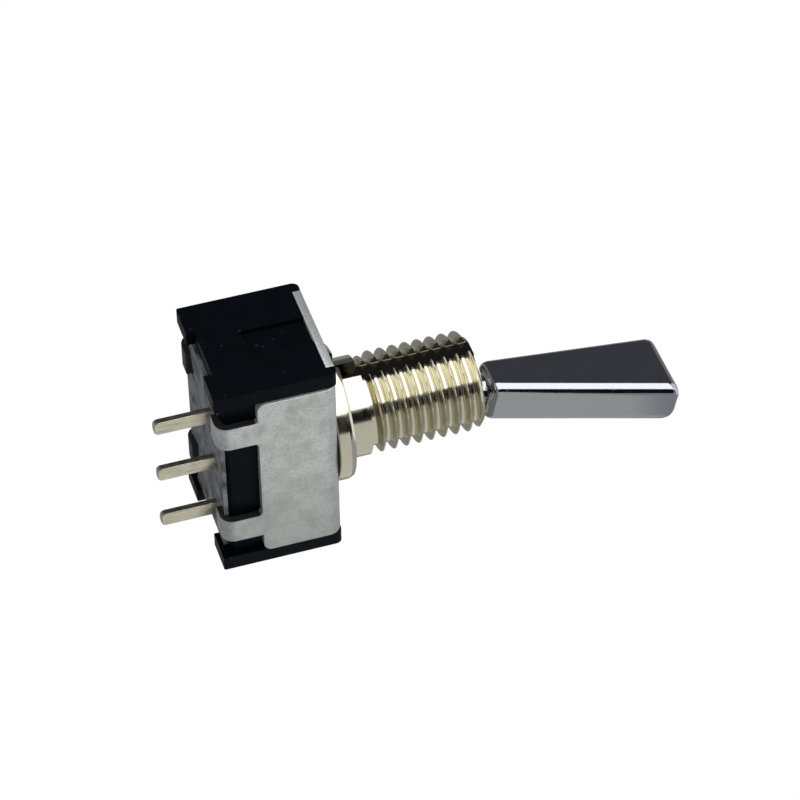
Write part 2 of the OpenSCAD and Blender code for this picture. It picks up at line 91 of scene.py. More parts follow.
# what a step of a calculation can choose, apart from the operation of a Math node
CHOICES = {
    "LINEAR": ("ShaderNodeMapRange", "interpolation_type"),
    "SMOOTHSTEP": ("ShaderNodeMapRange", "interpolation_type"),
    "RGBA": ("ShaderNodeMix", "data_type"),
}


# ---------------------------------------------------------------- colour and node helpers


def linear(code: str) -> tuple[float, float, float, float]:
    """Turns an sRGB hex colour to the linear values that a shader takes.

    Args:
        code: The colour as "#rrggbb".

    Returns:
        Linear red, green and blue, and an alpha of 1.
    """
    channels = [int(code[i:i + 2], 16) / MAX_CHANNEL for i in (1, 3, 5)]
    red, green, blue = (
        c / SRGB_SLOPE if c <= SRGB_KNEE else ((c + SRGB_OFFSET) / (1 + SRGB_OFFSET)) ** SRGB_GAMMA
        for c in channels
    )
    return red, green, blue, 1.0


def feed(tree: bpy.types.NodeTree, node: bpy.types.Node, inputs: Any) -> None:
    """Sets or links inputs of a node.

    Args:
        tree: The node's tree.
        node: The node.
        inputs: Values by input name, or a tuple in the order of the inputs that are in use. A
            socket is linked, and so is the first output in use of a node.
    """
    in_use = [socket for socket in node.inputs if socket.enabled]
    for key, value in inputs.items() if isinstance(inputs, dict) else enumerate(inputs):
        socket = node.inputs[key] if isinstance(key, str) else in_use[key]
        if isinstance(value, bpy.types.Node):
            value = next(output for output in value.outputs if output.enabled)
        if isinstance(value, bpy.types.NodeSocket):
            tree.links.new(value, socket)
        else:
            socket.default_value = value


def add_node(tree: bpy.types.NodeTree, kind: str, inputs: Any = (),
             **settings: Any) -> bpy.types.Node:
    """Adds a node, sets its properties, and feeds its inputs.

    Args:
        tree: The tree that gets the node.
        kind: The node's type name.
        inputs: What its inputs get, as feed takes it.
        settings: Properties of the node itself.

    Returns:
        The new node.
    """
    node = tree.nodes.new(kind)
    for key, value in settings.items():
        setattr(node, key, value)
    feed(tree, node, inputs)
    return node


def work_out(tree: bpy.types.NodeTree, known: dict[str, Any],
             steps: Iterable[tuple[Any, ...]]) -> dict[str, Any]:
    """Adds a node for each step of a calculation.

    Args:
        tree: The tree that gets the nodes.
        known: Nodes and sockets by name; each step's node joins them under the step's name.
        steps: For each step its name, its choice and its inputs, in order. An input is a known
            name, a node, a socket or a value.

    Returns:
        The known nodes and sockets.
    """
    for name, choice, *values in steps:
        kind, setting = CHOICES.get(choice, ("ShaderNodeMath", "operation"))
        inputs = [known.get(value, value) for value in values]
        known[name] = add_node(tree, kind, inputs, **{setting: choice})
    return known


def surface(tree: bpy.types.NodeTree) -> dict[str, Any]:
    """Object coordinates of the shaded point, as X, Y and Z, and its normal's, as facing X."""
    place = add_node(tree, "ShaderNodeTexCoord").outputs
    known = {"place": place["Object"]}
    for prefix, output in (("", "Object"), ("facing ", "Normal")):
        axes = add_node(tree, "ShaderNodeSeparateXYZ", (place[output],)).outputs
        known.update({prefix + axis.name: axis for axis in axes})
    return known


def empty_material(name: str) -> bpy.types.Material:
    """Makes a material that has no nodes yet."""
    material = bpy.data.materials.new(name)
    material.use_nodes = True
    material.node_tree.nodes.clear()
    return material


@dataclass(frozen=True)
class Pattern:
    """An uneven pattern on Object coordinates, such as grain, clouds, dents or lines.

    Attributes:
        size: Distance between features, in mm.
        detail: Octaves of the noise.
        low: Level of the noise at which its effect starts.
        high: Level at which the effect is full.
        stretch: How many times longer the features are along X, Y and Z.
    """

    size: float
    detail: float = 2.0
    low: float = 0.3
    high: float = 0.7
    stretch: ThreeValues = (1.0, 1.0, 1.0)

    def levels(self, tree: bpy.types.NodeTree) -> tuple[bpy.types.Node, float, float]:
        """Adds the noise.

        Args:
            tree: The material's tree.

        Returns:
            The noise's node, and the two levels.
        """
        place = add_node(tree, "ShaderNodeTexCoord").outputs["Object"]
        scaled = add_node(tree, "ShaderNodeMapping", {
            "Vector": place, "Scale": tuple(1 / s for s in self.stretch)})
        return add_node(tree, "ShaderNodeTexNoise", {
            "Vector": scaled, "Scale": 1 / (self.size * MM), "Detail": self.detail,
        }), self.low, self.high


# ---------------------------------------------------------------- finishes


class Slot(Enum):
    """Material slots of the record."""

    HOUSING = "housing_black"
    BASE = "base_black"
    RESIN = "epoxy_grey"
    STEEL = "tinned_steel"
    NICKEL = "nickel_plate"
    CHROME = "chrome_plate"
    NYLON = "nylon"
    SPRING = "spring_wire"
    BRASS = "contact_brass"
    SILVER = "contact_silver"
    PIN = "tinned_pin"


@dataclass(frozen=True)
class Finish:
    """A surface with a uniform shader, which the finishes below add their pattern to.

    Attributes:
        name: The material's name.
        colour: Its main colour, sRGB hex.
        roughness: Its main roughness.
        metallic: 1 for a metal.
        gloss: Least and most roughness, as shares of the main one.
    """

    name: str
    colour: str
    roughness: float
    metallic: float = 0.0
    gloss: tuple[float, float] = (0.85, 1.15)

    def build(self) -> bpy.types.Material:
        """Makes the material and adds its pattern.

        Returns:
            The finished material.
        """
        material = empty_material(self.name)
        tree = material.node_tree
        shader = add_node(tree, "ShaderNodeBsdfPrincipled", {
            "Base Color": linear(self.colour), "Roughness": self.roughness,
            "Metallic": self.metallic})
        add_node(tree, "ShaderNodeOutputMaterial", {"Surface": shader})
        found = self.pattern(tree)
        feed(tree, shader, {name: found[name] for name in found if name in shader.inputs})
        return material

    def pattern(self, tree: bpy.types.NodeTree) -> dict[str, Any]:
        """Adds the real surface's pattern; a plain finish has only a fine grain.

        Args:
            tree: The material's tree.

        Returns:
            Nodes and values by name. Those named as an input of the shader go into it.
        """
        return work_out(tree, {}, (self.roughen(*Pattern(0.2).levels(tree)),))

    def roughen(self, value: Any, low: float = 0.0, high: float = 1.0) -> tuple[Any, ...]:
        """Step that spreads a value between two levels over the roughness of the finish."""
        least, most = self.gloss
        return ("Roughness", "LINEAR", value, low, high, self.roughness * least,
                self.roughness * most)


@dataclass(frozen=True)
class ChromePlate(Finish):
    """Polished chrome over a die-cast core: mirror-like, with a faint waviness and a few pits."""

    gloss: tuple[float, float] = (1.0, 2.4)
    waves: Pattern = Pattern(1.6)
    wave_depth: float = 0.0022
    pits: Pattern = Pattern(0.16, 1, 0.72, 0.8)
    pit_depth: float = 0.004
    haze: Pattern = Pattern(0.5, 4, 0.3, 0.75)

    def pattern(self, tree: bpy.types.NodeTree) -> dict[str, Any]:
        """Adds the waves left by polishing, the pits, and small changes of gloss."""
        known = work_out(tree, {}, (
            ("pits", "LINEAR", *self.pits.levels(tree), 1.0, 0.0),
            self.roughen(*self.haze.levels(tree))))
        waves = add_node(tree, "ShaderNodeBump", {
            "Height": self.waves.levels(tree)[0], "Distance": self.wave_depth * MM})
        known["Normal"] = add_node(tree, "ShaderNodeBump", {
            "Height": known["pits"], "Distance": self.pit_depth * MM, "Normal": waves})
        return known


@dataclass(frozen=True)
class ThreadNickel(Finish):
    """Bright nickel over turned brass, yellow on the thread's flanks: partly thin plate, partly
    painted warm reflection from the grooves.
    """

    gloss: tuple[float, float] = (1.0, 2.0)
    flank_plate_and_reflection_colour: str = "#d6d1ba"
    flank_slant: tuple[float, float] = (0.25, 0.8)
    thread_r: float = 2.94
    keyway_shade_colour: str = "#5c584d"
    keyway_half_w: float = 0.62
    keyway_y: float = -2.4
    # turning lines run around the axis, so the noise is fine along Z only; they are drawn
    # coarser than real ones, which would not show
    lines: Pattern = Pattern(0.05, stretch=(60.0, 60.0, 1.0))
    line_depth: float = 0.0006
    haze: Pattern = Pattern(0.6, 4, 0.3, 0.75)

    def pattern(self, tree: bpy.types.NodeTree) -> dict[str, Any]:
        """Warms the flanks, partly with painted reflection, paints shade into the keyway, and adds
        fine turning lines.
        """
        known = surface(tree)
        flat = add_node(tree, "ShaderNodeVectorMath", (known["place"], (1.0, 1.0, 0.0)),
                        operation="MULTIPLY")
        known["radius"] = add_node(tree, "ShaderNodeVectorMath", (flat,), operation="LENGTH")
        # painted shade: below, the keyway's narrow, deep faces get a dark base colour for the
        # shade in the groove
        work_out(tree, known, (
            # painted reflection: the flanks inside the crest radius get a yellower base colour,
            # partly for thin plate over brass
            ("inside", "LESS_THAN", "radius", self.thread_r * MM),
            ("slant", "ABSOLUTE", "facing Z"),
            ("sloping", "LINEAR", "slant", *self.flank_slant),
            ("flank", "MULTIPLY", "sloping", "inside"),
            ("warm", "RGBA", "flank", linear(self.colour), linear(self.flank_plate_and_reflection_colour)),
            # painted shade in the keyway
            ("across", "ABSOLUTE", "X"),
            ("narrow", "LESS_THAN", "across", self.keyway_half_w * MM),
            ("deep", "LESS_THAN", "Y", self.keyway_y * MM),
            ("milled", "MULTIPLY", "narrow", "deep"),
            ("Base Color", "RGBA", "milled", "warm", linear(self.keyway_shade_colour)),
            self.roughen(*self.haze.levels(tree))))
        known["Normal"] = add_node(tree, "ShaderNodeBump", {
            "Height": self.lines.levels(tree)[0], "Distance": self.line_depth * MM})
        return known


@dataclass(frozen=True)
class TinPlate(Finish):
    """Matte tin plate on rolled steel: soft grey, with faint clouds and a fine grain."""

    gloss: tuple[float, float] = (1.0, 1.25)
    cloud_colour: str = "#bcc1c0"
    clouds: Pattern = Pattern(0.9, 8, 0.4, 0.8)
    # the grain is drawn coarser than real tin's, which would not show
    grain: Pattern = Pattern(0.16, 4, 0.48, 0.75)
    speckle_colour: str = "#a3a8a7"
    speckling: float = 0.6
    grain_depth: float = 0.004
    far_end_shade_colour: str = "#8f9492"
    end_shade_from: float = -1.0
    end_shade_to: float = 5.5
    end_shade_amount: float = 0.45
    painted_shade_colour: str = "#3c3f42"
    edge_facing: tuple[float, float] = (0.6, 0.9)
    leg_z: float = -5.8
    foot_z: float = -7.3
    foot_fade: float = 0.4
    side_x: float = -2.0
    fade: float = 0.1

    def pattern(self, tree: bpy.types.NodeTree) -> dict[str, Any]:
        """Adds the clouds and speckles of the plating, its grain, and painted shade on the legs'
        edges, the far feet and one end.
        """
        grain = self.grain.levels(tree)
        # painted shade: the plating is painted darker towards +Y, away from the light, and the
        # legs' sheared edges facing Y and the feet of the far side are painted dark
        known = work_out(tree, surface(tree), (
            ("clouds", "LINEAR", *self.clouds.levels(tree)),
            ("tint", "RGBA", "clouds", linear(self.colour), linear(self.cloud_colour)),
            ("speckle", "LINEAR", *grain, 0.0, self.speckling),
            ("tint", "RGBA", "speckle", "tint", linear(self.speckle_colour)),
            # painted shade: darker towards +Y, the end away from the light
            ("dulled", "LINEAR", "Y", self.end_shade_from * MM, self.end_shade_to * MM, 0.0,
             self.end_shade_amount),
            ("tint", "RGBA", "dulled", "tint", linear(self.far_end_shade_colour)),
            # painted shade: the legs' sheared edges facing Y, shaded by the flange and the gaps
            # beside them
            ("sideways", "ABSOLUTE", "facing Y"),
            ("cut", "LINEAR", "sideways", *self.edge_facing),
            ("leg", "LINEAR", "Z", self.leg_z * MM, (self.leg_z - self.fade) * MM),
            # painted shade: the feet on the far side are painted dark
            ("foot", "LINEAR", "Z", self.foot_z * MM, (self.foot_z - self.foot_fade) * MM),
            ("side", "LINEAR", "X", self.side_x * MM, (self.side_x - self.fade) * MM),
            ("edge", "MULTIPLY", "cut", "leg"),
            ("burnt", "MULTIPLY", "foot", "side"),
            ("dark", "MAXIMUM", "edge", "burnt"),
            ("Base Color", "RGBA", "dark", "tint", linear(self.painted_shade_colour)),
            self.roughen("clouds")))
        known["Normal"] = add_node(tree, "ShaderNodeBump", {
            "Height": grain[0], "Distance": self.grain_depth * MM})
        return known


@dataclass(frozen=True)
class DrawnTin(Finish):
    """Bright tin over brass strip: slightly warm, with drawing lines and painted shade on the
    narrow sides.
    """

    gloss: tuple[float, float] = (1.0, 1.6)
    worn_colour: str = "#bcb6a5"
    # drawn coarser than real drawing lines, which would not show
    lines: Pattern = Pattern(0.09, 3, 0.5, 0.75, (1.0, 1.0, 14.0))
    narrow_side_shade_colour: str = "#837e71"
    cut_facing: tuple[float, float] = (0.6, 0.95)
    blotches: Pattern = Pattern(0.45, 3, 0.35, 0.7)
    blotch_depth: float = 0.012

    def pattern(self, tree: bpy.types.NodeTree) -> dict[str, Any]:
        """Adds lines along Z, painted shade on the narrow sides facing Y, and soft blotches."""
        blotches = self.blotches.levels(tree)
        known = work_out(tree, surface(tree), (
            ("worn", "LINEAR", *self.lines.levels(tree)),
            ("tint", "RGBA", "worn", linear(self.colour), linear(self.worn_colour)),
            # painted shade: the narrow sides facing Y get a darker base colour
            ("sideways", "ABSOLUTE", "facing Y"),
            ("cut", "LINEAR", "sideways", *self.cut_facing),
            ("Base Color", "RGBA", "cut", "tint", linear(self.narrow_side_shade_colour)),
            self.roughen(*blotches)))
        known["Normal"] = add_node(tree, "ShaderNodeBump", {
            "Height": blotches[0], "Distance": self.blotch_depth * MM})
        return known


@dataclass(frozen=True)
class MouldedBlack(Finish):
    """Moulded phenolic: near black with a cold sheen, fine relief and a few light specks."""

    gloss: tuple[float, float] = (0.85, 1.3)
    speck_colour: str = "#2c3036"
    specks: Pattern = Pattern(0.2, 0, 0.82, 0.86)
    sheen: float = 0.15
    sheen_tint: str = "#86b4d8"
    relief: Pattern = Pattern(0.3, 4)
    relief_depth: float = 0.006
    patches: Pattern = Pattern(1.1, 4)

    def pattern(self, tree: bpy.types.NodeTree) -> dict[str, Any]:
        """Adds the specks of filler, the moulding's fine relief, and dull patches."""
        known = work_out(tree, {}, (
            ("specks", "LINEAR", *self.specks.levels(tree)),
            ("Base Color", "RGBA", "specks", linear(self.colour), linear(self.speck_colour)),
            self.roughen(*self.patches.levels(tree))))
        relief = add_node(tree, "ShaderNodeBump", {
            "Height": self.relief.levels(tree)[0], "Distance": self.relief_depth * MM})
        return {**known, "Normal": relief, "Specular IOR Level": self.sheen,
                "Specular Tint": linear(self.sheen_tint)}


@dataclass(frozen=True)
class PouredResin(Finish):
    """Grey epoxy poured over the base: semi-gloss, cloudy, paler where it is thick."""

    gloss: tuple[float, float] = (0.7, 1.5)
    thin_colour: str = "#2e3136"
    clouds: Pattern = Pattern(1.0, 5, 0.4, 0.66)
    dents: Pattern = Pattern(0.35, 4)
    dent_depth: float = 0.03

    def pattern(self, tree: bpy.types.NodeTree) -> dict[str, Any]:
        """Adds the clouds, small dents and changes of gloss."""
        dents = self.dents.levels(tree)
        known = work_out(tree, {}, (
            ("clouds", "LINEAR", *self.clouds.levels(tree)),
            ("Base Color", "RGBA", "clouds", linear(self.colour), linear(self.thin_colour)),
            self.roughen(*dents)))
        known["Normal"] = add_node(tree, "ShaderNodeBump", {
            "Height": dents[0], "Distance": self.dent_depth * MM})
        return known


FINISHES: dict[Slot, Finish] = {
    Slot.HOUSING: MouldedBlack("moulded_phenolic_black", "#050609", 0.38),
    Slot.BASE: MouldedBlack("moulded_base_black", "#06080a", 0.45),
    Slot.RESIN: PouredResin("poured_epoxy_grey", "#7c8084", 0.34),
    Slot.STEEL: TinPlate("matte_tin_on_steel", "#dee1e1", 0.42, 0.75),
    Slot.NICKEL: ThreadNickel("bright_nickel_on_brass", "#dedaca", 0.11, 1.0),
    Slot.CHROME: ChromePlate("polished_chrome", "#b2b5bc", 0.06, 1.0),
    # moulded and undyed: milky, with a dull skin
    Slot.NYLON: Finish("natural_nylon", "#e3dcc6", 0.5),
    # cold-drawn: bright grey glints along the coil
    Slot.SPRING: Finish("drawn_spring_wire", "#9a9da1", 0.3, 1.0),
    # rolled strip: yellow, with a soft mirror
    Slot.BRASS: Finish("rolled_brass", "#c9a35b", 0.32, 1.0),
    # rivet heads pressed to shape: white and satin
    Slot.SILVER: Finish("satin_silver", "#dcdcd8", 0.28, 1.0),
    Slot.PIN: DrawnTin("bright_tin_on_brass", "#ece7d6", 0.25, 1.0),
}


# ---------------------------------------------------------------- mesh helpers


def new_object(name: str, mesh: bpy.types.Mesh) -> bpy.types.Object:
    """Adds an object at the origin that holds a mesh."""
    piece = bpy.data.objects.new(name, mesh)
    bpy.context.scene.collection.objects.link(piece)
    return piece


def mesh_from_bmesh(name: str, solid: bmesh.types.BMesh, scale: float = MM) -> bpy.types.Mesh:
    """Turns a bmesh to a mesh in metres.

    Args:
        name: Name of the mesh.
        solid: The bmesh, which is freed.
        scale: Factor from the bmesh's units to metres.

    Returns:
        The mesh.
    """
    bmesh.ops.scale(solid, vec=(scale, scale, scale), verts=solid.verts)
    mesh = bpy.data.meshes.new(name)
    solid.to_mesh(mesh)
    solid.free()
    return mesh


def smooth_by_angle(mesh: bpy.types.Mesh, degrees: float) -> None:
    """Shades a mesh smooth, apart from edges sharper than an angle."""
    mesh.shade_smooth()
    mesh.set_sharp_from_angle(angle=math.radians(degrees))


def merged_copy(node: str, name: str) -> bpy.types.Object:
    """Copies a CAD node as one closed mesh, with its flat faces joined.

    Args:
        node: The CAD node.
        name: Name of the new piece.

    Returns:
        The piece, at the origin.
    """
    solid = bmesh.new()
    solid.from_mesh(frame["nodes"][node].data)
    bmesh.ops.remove_doubles(solid, verts=solid.verts, dist=MERGE_MM * MM)
    bmesh.ops.dissolve_limit(solid, angle_limit=math.radians(FLAT_DEG), verts=solid.verts,
                             edges=solid.edges)
    return new_object(name, mesh_from_bmesh(name, solid, 1.0))


def ease_edges(piece: bpy.types.Object, radius: float, segments: int = 3,
               degrees: float = 50.0) -> bpy.types.Modifier:
    """Rounds the sharp edges of a piece.

    Args:
        piece: The piece.
        radius: Radius of the rounds, in mm.
        segments: Faces across each round.
        degrees: Edges sharper than this are rounded.

    Returns:
        The modifier that rounds them.
    """
    rounding = piece.modifiers.new("eased_edges", "BEVEL")
    rounding.width = radius * MM
    rounding.segments = segments
    rounding.limit_method = "ANGLE"
    rounding.angle_limit = math.radians(degrees)
    rounding.harden_normals = True
    rounding.miter_outer = "MITER_ARC"
    smooth_by_angle(piece.data, degrees)
    return rounding


def hand_over(piece: bpy.types.Object, node: str, material: bpy.types.Material) -> None:
    """Puts a piece in the place of a CAD node, on the node's body and in its material slot.

    Args:
        piece: The finished piece.
        node: The CAD node that it stands for.
        material: Its finish.
    """
    piece.data.materials.clear()
    piece.data.materials.append(material)
    record = frame["record"]
    bodies = record["behaviour"]["bodies"]
    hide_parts(node)
    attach(piece, next(body for body, nodes in bodies.items() if node in nodes))
    LOG.info("%s stands for %s: %d faces", piece.name, node, len(piece.data.polygons))


def box_mm(node: str) -> tuple[Vector, Vector]:
    """Lowest and highest corner of a CAD node, in mm."""
    low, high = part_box(node)
    return low / MM, high / MM


# ---------------------------------------------------------------- the bushing


# crest radius and straight length of the thread
THREAD = frame["record"]["mounts"][0]["dims"]


@dataclass
class ThreadedBushing:
    """Turned bushing: flange, cut thread, keyway with a round run-out, ball seat and slots.

    The turned blank is a lathed outline. Geometry Nodes cut the thread into it, then take out
    the keyway and the two trunnion slots.
    """

    pitch: float = 0.75
    root_r: float = 2.49
    neck_l: float = 1.3
    relief_l: float = 0.3
    phase: float = 0.39
    root_flat: float = 0.2
    flange_r: float = 4.03
    flange_t: float = 1.0
    flange_chamfer_h: float = 0.25
    flange_chamfer_w: float = 0.1
    spigot_r: float = 2.9
    staked_r: float = 3.4
    staked_t: float = 0.4
    tip_r: float = 2.62
    mouth_r: float = 2.08
    seat_r: float = 1.8
    throat_r: float = 1.09
    pivot_z: float = 3.5
    key_w: float = 1.2
    key_floor: float = 2.45
    cutter_r: float = 1.5
    cutter_z: float = 1.218
    key_fillet: float = 0.1
    floor_reach: float = 0.01
    floor_deg: float = 1.0
    slot_r: float = 0.38
    slot_reach: float = 2.25
    cutter_room: float = 12.0
    thread_room: float = 0.001
    edge_r: float = 0.04
    smooth_deg: float = 45.0
    round_sides: int = 96
    fillet_sides: int = 32
    sectors: int = 180
    rings_per_pitch: int = 24
    seat_rings: int = 12

    def outline(self) -> list[tuple[float, float]]:
        """Half section of the blank, outside first.

        Returns:
            Radius and height of each point, from the lower end of the bore round the outside,
            over the mouth and down the bore.
        """
        crest_r, straight_l = THREAD["r_mm"], THREAD["length_mm"]
        low, high = box_mm("bushing")
        plate_z = low.z + self.staked_t
        e = self.edge_r
        flange_r, under_z, chamfer_z = self.flange_r, -self.flange_t, -self.flange_chamfer_h
        face_r = flange_r - self.flange_chamfer_w
        points = [(self.seat_r + e, low.z), (self.staked_r - e, low.z), (self.staked_r, low.z + e),
                  (self.staked_r, plate_z), (self.spigot_r, plate_z), (self.spigot_r, under_z),
                  (flange_r - e, under_z), (flange_r, under_z + e), (flange_r, under_z + 2 * e),
                  (flange_r, chamfer_z - 2 * e), (flange_r, chamfer_z - e),
                  (flange_r - e / 2, chamfer_z + e / 2), (face_r, -e / 2), (face_r - e, 0.0),
                  (crest_r + 2 * e, 0.0), (crest_r + e, 0.0), (crest_r, e), (crest_r, 2 * e),
                  (crest_r, self.neck_l - e), (crest_r, self.neck_l)]
        step = self.pitch / self.rings_per_pitch
        for end_r, end_z in ((crest_r, straight_l), (self.tip_r, high.z)):
            start_r, start_z = points[-1]
            count = round((end_z - start_z) / step)
            points += [(start_r + (end_r - start_r) * i / count,
                        start_z + (end_z - start_z) * i / count) for i in range(1, count + 1)]
        points += [(self.mouth_r + e, high.z), (self.mouth_r, high.z - e)]
        top = math.acos(self.throat_r / self.seat_r)
        points += [(self.seat_r * math.cos(a), self.pivot_z + self.seat_r * math.sin(a))
                   for a in (top * (1 - i / self.seat_rings) for i in range(self.seat_rings + 1))]
        points.append((self.seat_r, low.z + e))
        return points

    def blank(self) -> bpy.types.Object:
        """Lathes the outline to a closed solid.

        Returns:
            The blank, in metres.
        """
        points = self.outline()
        solid = bmesh.new()
        rings = []
        for i in range(self.sectors):
            angle = 2 * math.pi * i / self.sectors
            rings.append([solid.verts.new((r * math.cos(angle), r * math.sin(angle), z))
                          for r, z in points])
        count = len(points)
        for i, ring in enumerate(rings):
            after = rings[(i + 1) % self.sectors]
            for k in range(count):
                n = (k + 1) % count
                solid.faces.new((ring[k], after[k], after[n], ring[n]))
        bmesh.ops.recalc_face_normals(solid, faces=solid.faces)
        return new_object("threaded_bushing", mesh_from_bmesh("threaded_bushing", solid))

    def tree(self) -> bpy.types.NodeTree:
        """Builds the Geometry Nodes tree that cuts the thread, the keyway and the slots.

        Returns:
            The tree, with a named input for each size.
        """
        tree = bpy.data.node_groups.new("thread_cutter", "GeometryNodeTree")
        tree.interface.new_socket("Geometry", in_out="INPUT", socket_type="NodeSocketGeometry")
        for name in self.sizes():
            tree.interface.new_socket(name, in_out="INPUT", socket_type="NodeSocketFloat")
        tree.interface.new_socket("Finish", in_out="INPUT", socket_type="NodeSocketMaterial")
        tree.interface.new_socket("Geometry", in_out="OUTPUT", socket_type="NodeSocketGeometry")
        given = add_node(tree, "NodeGroupInput").outputs
        cut = add_node(tree, "GeometryNodeMeshBoolean", {"Mesh 1": self.cut_thread(tree, given)},
                       operation="DIFFERENCE", solver="MANIFOLD")
        for cutter in self.cutters(tree, given):
            feed(tree, cut, {"Mesh 2": cutter})
        real = add_node(tree, "GeometryNodeRealizeInstances", {"Geometry": cut})
        dressed = add_node(tree, "GeometryNodeSetMaterial", {
            "Geometry": real, "Material": given["Finish"]})
        add_node(tree, "NodeGroupOutput", {"Geometry": dressed})
        return tree

    def sizes(self) -> dict[str, float]:
        """Named inputs of the tree: lengths in metres, and shares of the thread's pitch."""
        lengths = {
            "Pitch": self.pitch, "Root radius": self.root_r,
            "Crest radius": THREAD["r_mm"],
            "Thread start": self.neck_l, "Relief": self.relief_l,
            "Keyway width": self.key_w, "Keyway floor": self.key_floor,
            "Cutter radius": self.cutter_r, "Cutter height": self.cutter_z,
            "Keyway fillet": self.key_fillet,
            "Slot radius": self.slot_r, "Slot reach": self.slot_reach,
            "Pivot height": self.pivot_z,
        }
        shares = {"Phase": self.phase, "Root flat": self.root_flat}
        return {**{name: value * MM for name, value in lengths.items()}, **shares}

    def cut_thread(self, tree: bpy.types.NodeTree, given: Any) -> bpy.types.Node:
        """Pulls the blank's skin in along a helix, with thin crests and flat roots.

        Args:
            tree: The tree.
            given: The group's inputs.

        Returns:
            The node that moves the skin.
        """
        place = add_node(tree, "GeometryNodeInputPosition")
        axes = add_node(tree, "ShaderNodeSeparateXYZ", (place,)).outputs
        known = {socket.name: socket for socket in (*given, *axes)}
        # the ridge is 0 in the middle of the thread's root and 1 on its crest; above the relief
        # at its lower end, the thread grows to its full height
        work_out(tree, known, (
            ("x squared", "MULTIPLY", "X", "X"),
            ("y squared", "MULTIPLY", "Y", "Y"),
            ("r squared", "ADD", "x squared", "y squared"),
            ("radius", "SQRT", "r squared"),
            ("angle", "ARCTAN2", "Y", "X"),
            ("turn", "DIVIDE", "angle", 2 * math.pi),
            ("rise", "DIVIDE", "Z", "Pitch"),
            ("along", "SUBTRACT", "rise", "turn"),
            ("shifted", "ADD", "along", "Phase"),
            ("share", "FRACT", "shifted"),
            ("saw", "MULTIPLY_ADD", "share", 2.0, -1.0),
            ("ridge", "ABSOLUTE", "saw"),
            ("flank", "SMOOTHSTEP", "ridge", "Root flat"),
            ("relief middle", "MULTIPLY_ADD", "Relief", 0.5, "Thread start"),
            ("relief end", "ADD", "Thread start", "Relief"),
            ("full height", "ADD", "relief end", "Relief"),
            ("growth", "SMOOTHSTEP", "Z", "relief middle", "full height"),
            ("grown", "MULTIPLY", "flank", "growth"),
            ("depth", "SUBTRACT", "Crest radius", "Root radius"),
            ("cut radius", "MULTIPLY_ADD", "depth", "grown", "Root radius"),
            ("least", "MINIMUM", "cut radius", "radius"),
            ("factor", "DIVIDE", "least", "radius"),
            ("new x", "MULTIPLY", "X", "factor"),
            ("new y", "MULTIPLY", "Y", "factor"),
            ("lowest", "ADD", "Thread start", self.thread_room * MM),
            ("beyond", "GREATER_THAN", "Z", "lowest")))
        moved = add_node(tree, "ShaderNodeCombineXYZ", (
            known["new x"], known["new y"], axes["Z"]))
        return add_node(tree, "GeometryNodeSetPosition", {
            "Geometry": given["Geometry"], "Selection": known["beyond"],
            "Position": moved})

    def cutters(self, tree: bpy.types.NodeTree, given: Any) -> list[bpy.types.Node]:
        """Makes the solids that cut the keyway, its fillets and run-out, and the two slots.

        Args:
            tree: The tree.
            given: The group's inputs.

        Returns:
            Nodes whose meshes are taken out of the blank.
        """
        room = self.cutter_room * MM
        known = work_out(tree, {socket.name: socket for socket in given}, (
            ("keyway y", "MULTIPLY_ADD", "Keyway floor", -1.0, -room / 2),
            ("narrow width", "MULTIPLY_ADD", "Keyway fillet", -2.0, "Keyway width"),
            ("shallow y", "MULTIPLY_ADD", "Keyway fillet", -1.0, "keyway y"),
            ("corner x", "MULTIPLY", "narrow width", 0.5),
            ("other corner x", "MULTIPLY", "corner x", -1.0),
            ("minus fillet", "MULTIPLY", "Keyway fillet", -1.0),
            ("corner y", "MULTIPLY_ADD", "Keyway floor", -1.0, "minus fillet"),
            ("keyway z", "MULTIPLY_ADD", room, 0.5, "Cutter height"),
            ("minus cutter", "MULTIPLY", "Cutter radius", -1.0),
            ("cutter y", "MULTIPLY_ADD", "Keyway floor", -1.0, "minus cutter"),
            ("slot length", "MULTIPLY", "Slot reach", 2.0),
            ("slot width", "MULTIPLY", "Slot radius", 2.0),
            ("slot z", "MULTIPLY_ADD", -room, 0.5, "Pivot height")))
        # a block has three sizes, and a round bar has its radius, length and sides; only the
        # fillets' bars stand upright, and the others lie along X
        found = []
        for size, centre in (
                (("narrow width", room, room), (0.0, "keyway y", "keyway z")),
                (("Keyway width", room, room), (0.0, "shallow y", "keyway z")),
                (("Keyway fillet", room, self.fillet_sides), ("corner x", "corner y", "keyway z")),
                (("Keyway fillet", room, self.fillet_sides),
                 ("other corner x", "corner y", "keyway z")),
                (("Cutter radius", "Keyway width", self.round_sides),
                 (0.0, "cutter y", "Cutter height")),
                (("slot length", "slot width", room), (0.0, 0.0, "slot z")),
                (("Slot radius", "slot length", self.round_sides), (0.0, 0.0, "Pivot height"))):
            size, centre = ([known.get(v, v) for v in values] for values in (size, centre))
            inputs = {"Translation": add_node(tree, "ShaderNodeCombineXYZ", centre)}
            if isinstance(size[2], int):
                inputs["Geometry"] = add_node(tree, "GeometryNodeMeshCylinder", {
                    "Radius": size[0], "Depth": size[1], "Vertices": size[2]})
                if size[2] == self.round_sides:
                    inputs["Rotation"] = (0.0, math.pi / 2, 0.0)
            else:
                inputs["Geometry"] = add_node(tree, "GeometryNodeMeshCube", {
                    "Size": add_node(tree, "ShaderNodeCombineXYZ", size)})
            found.append(add_node(tree, "GeometryNodeTransform", inputs))
        return found

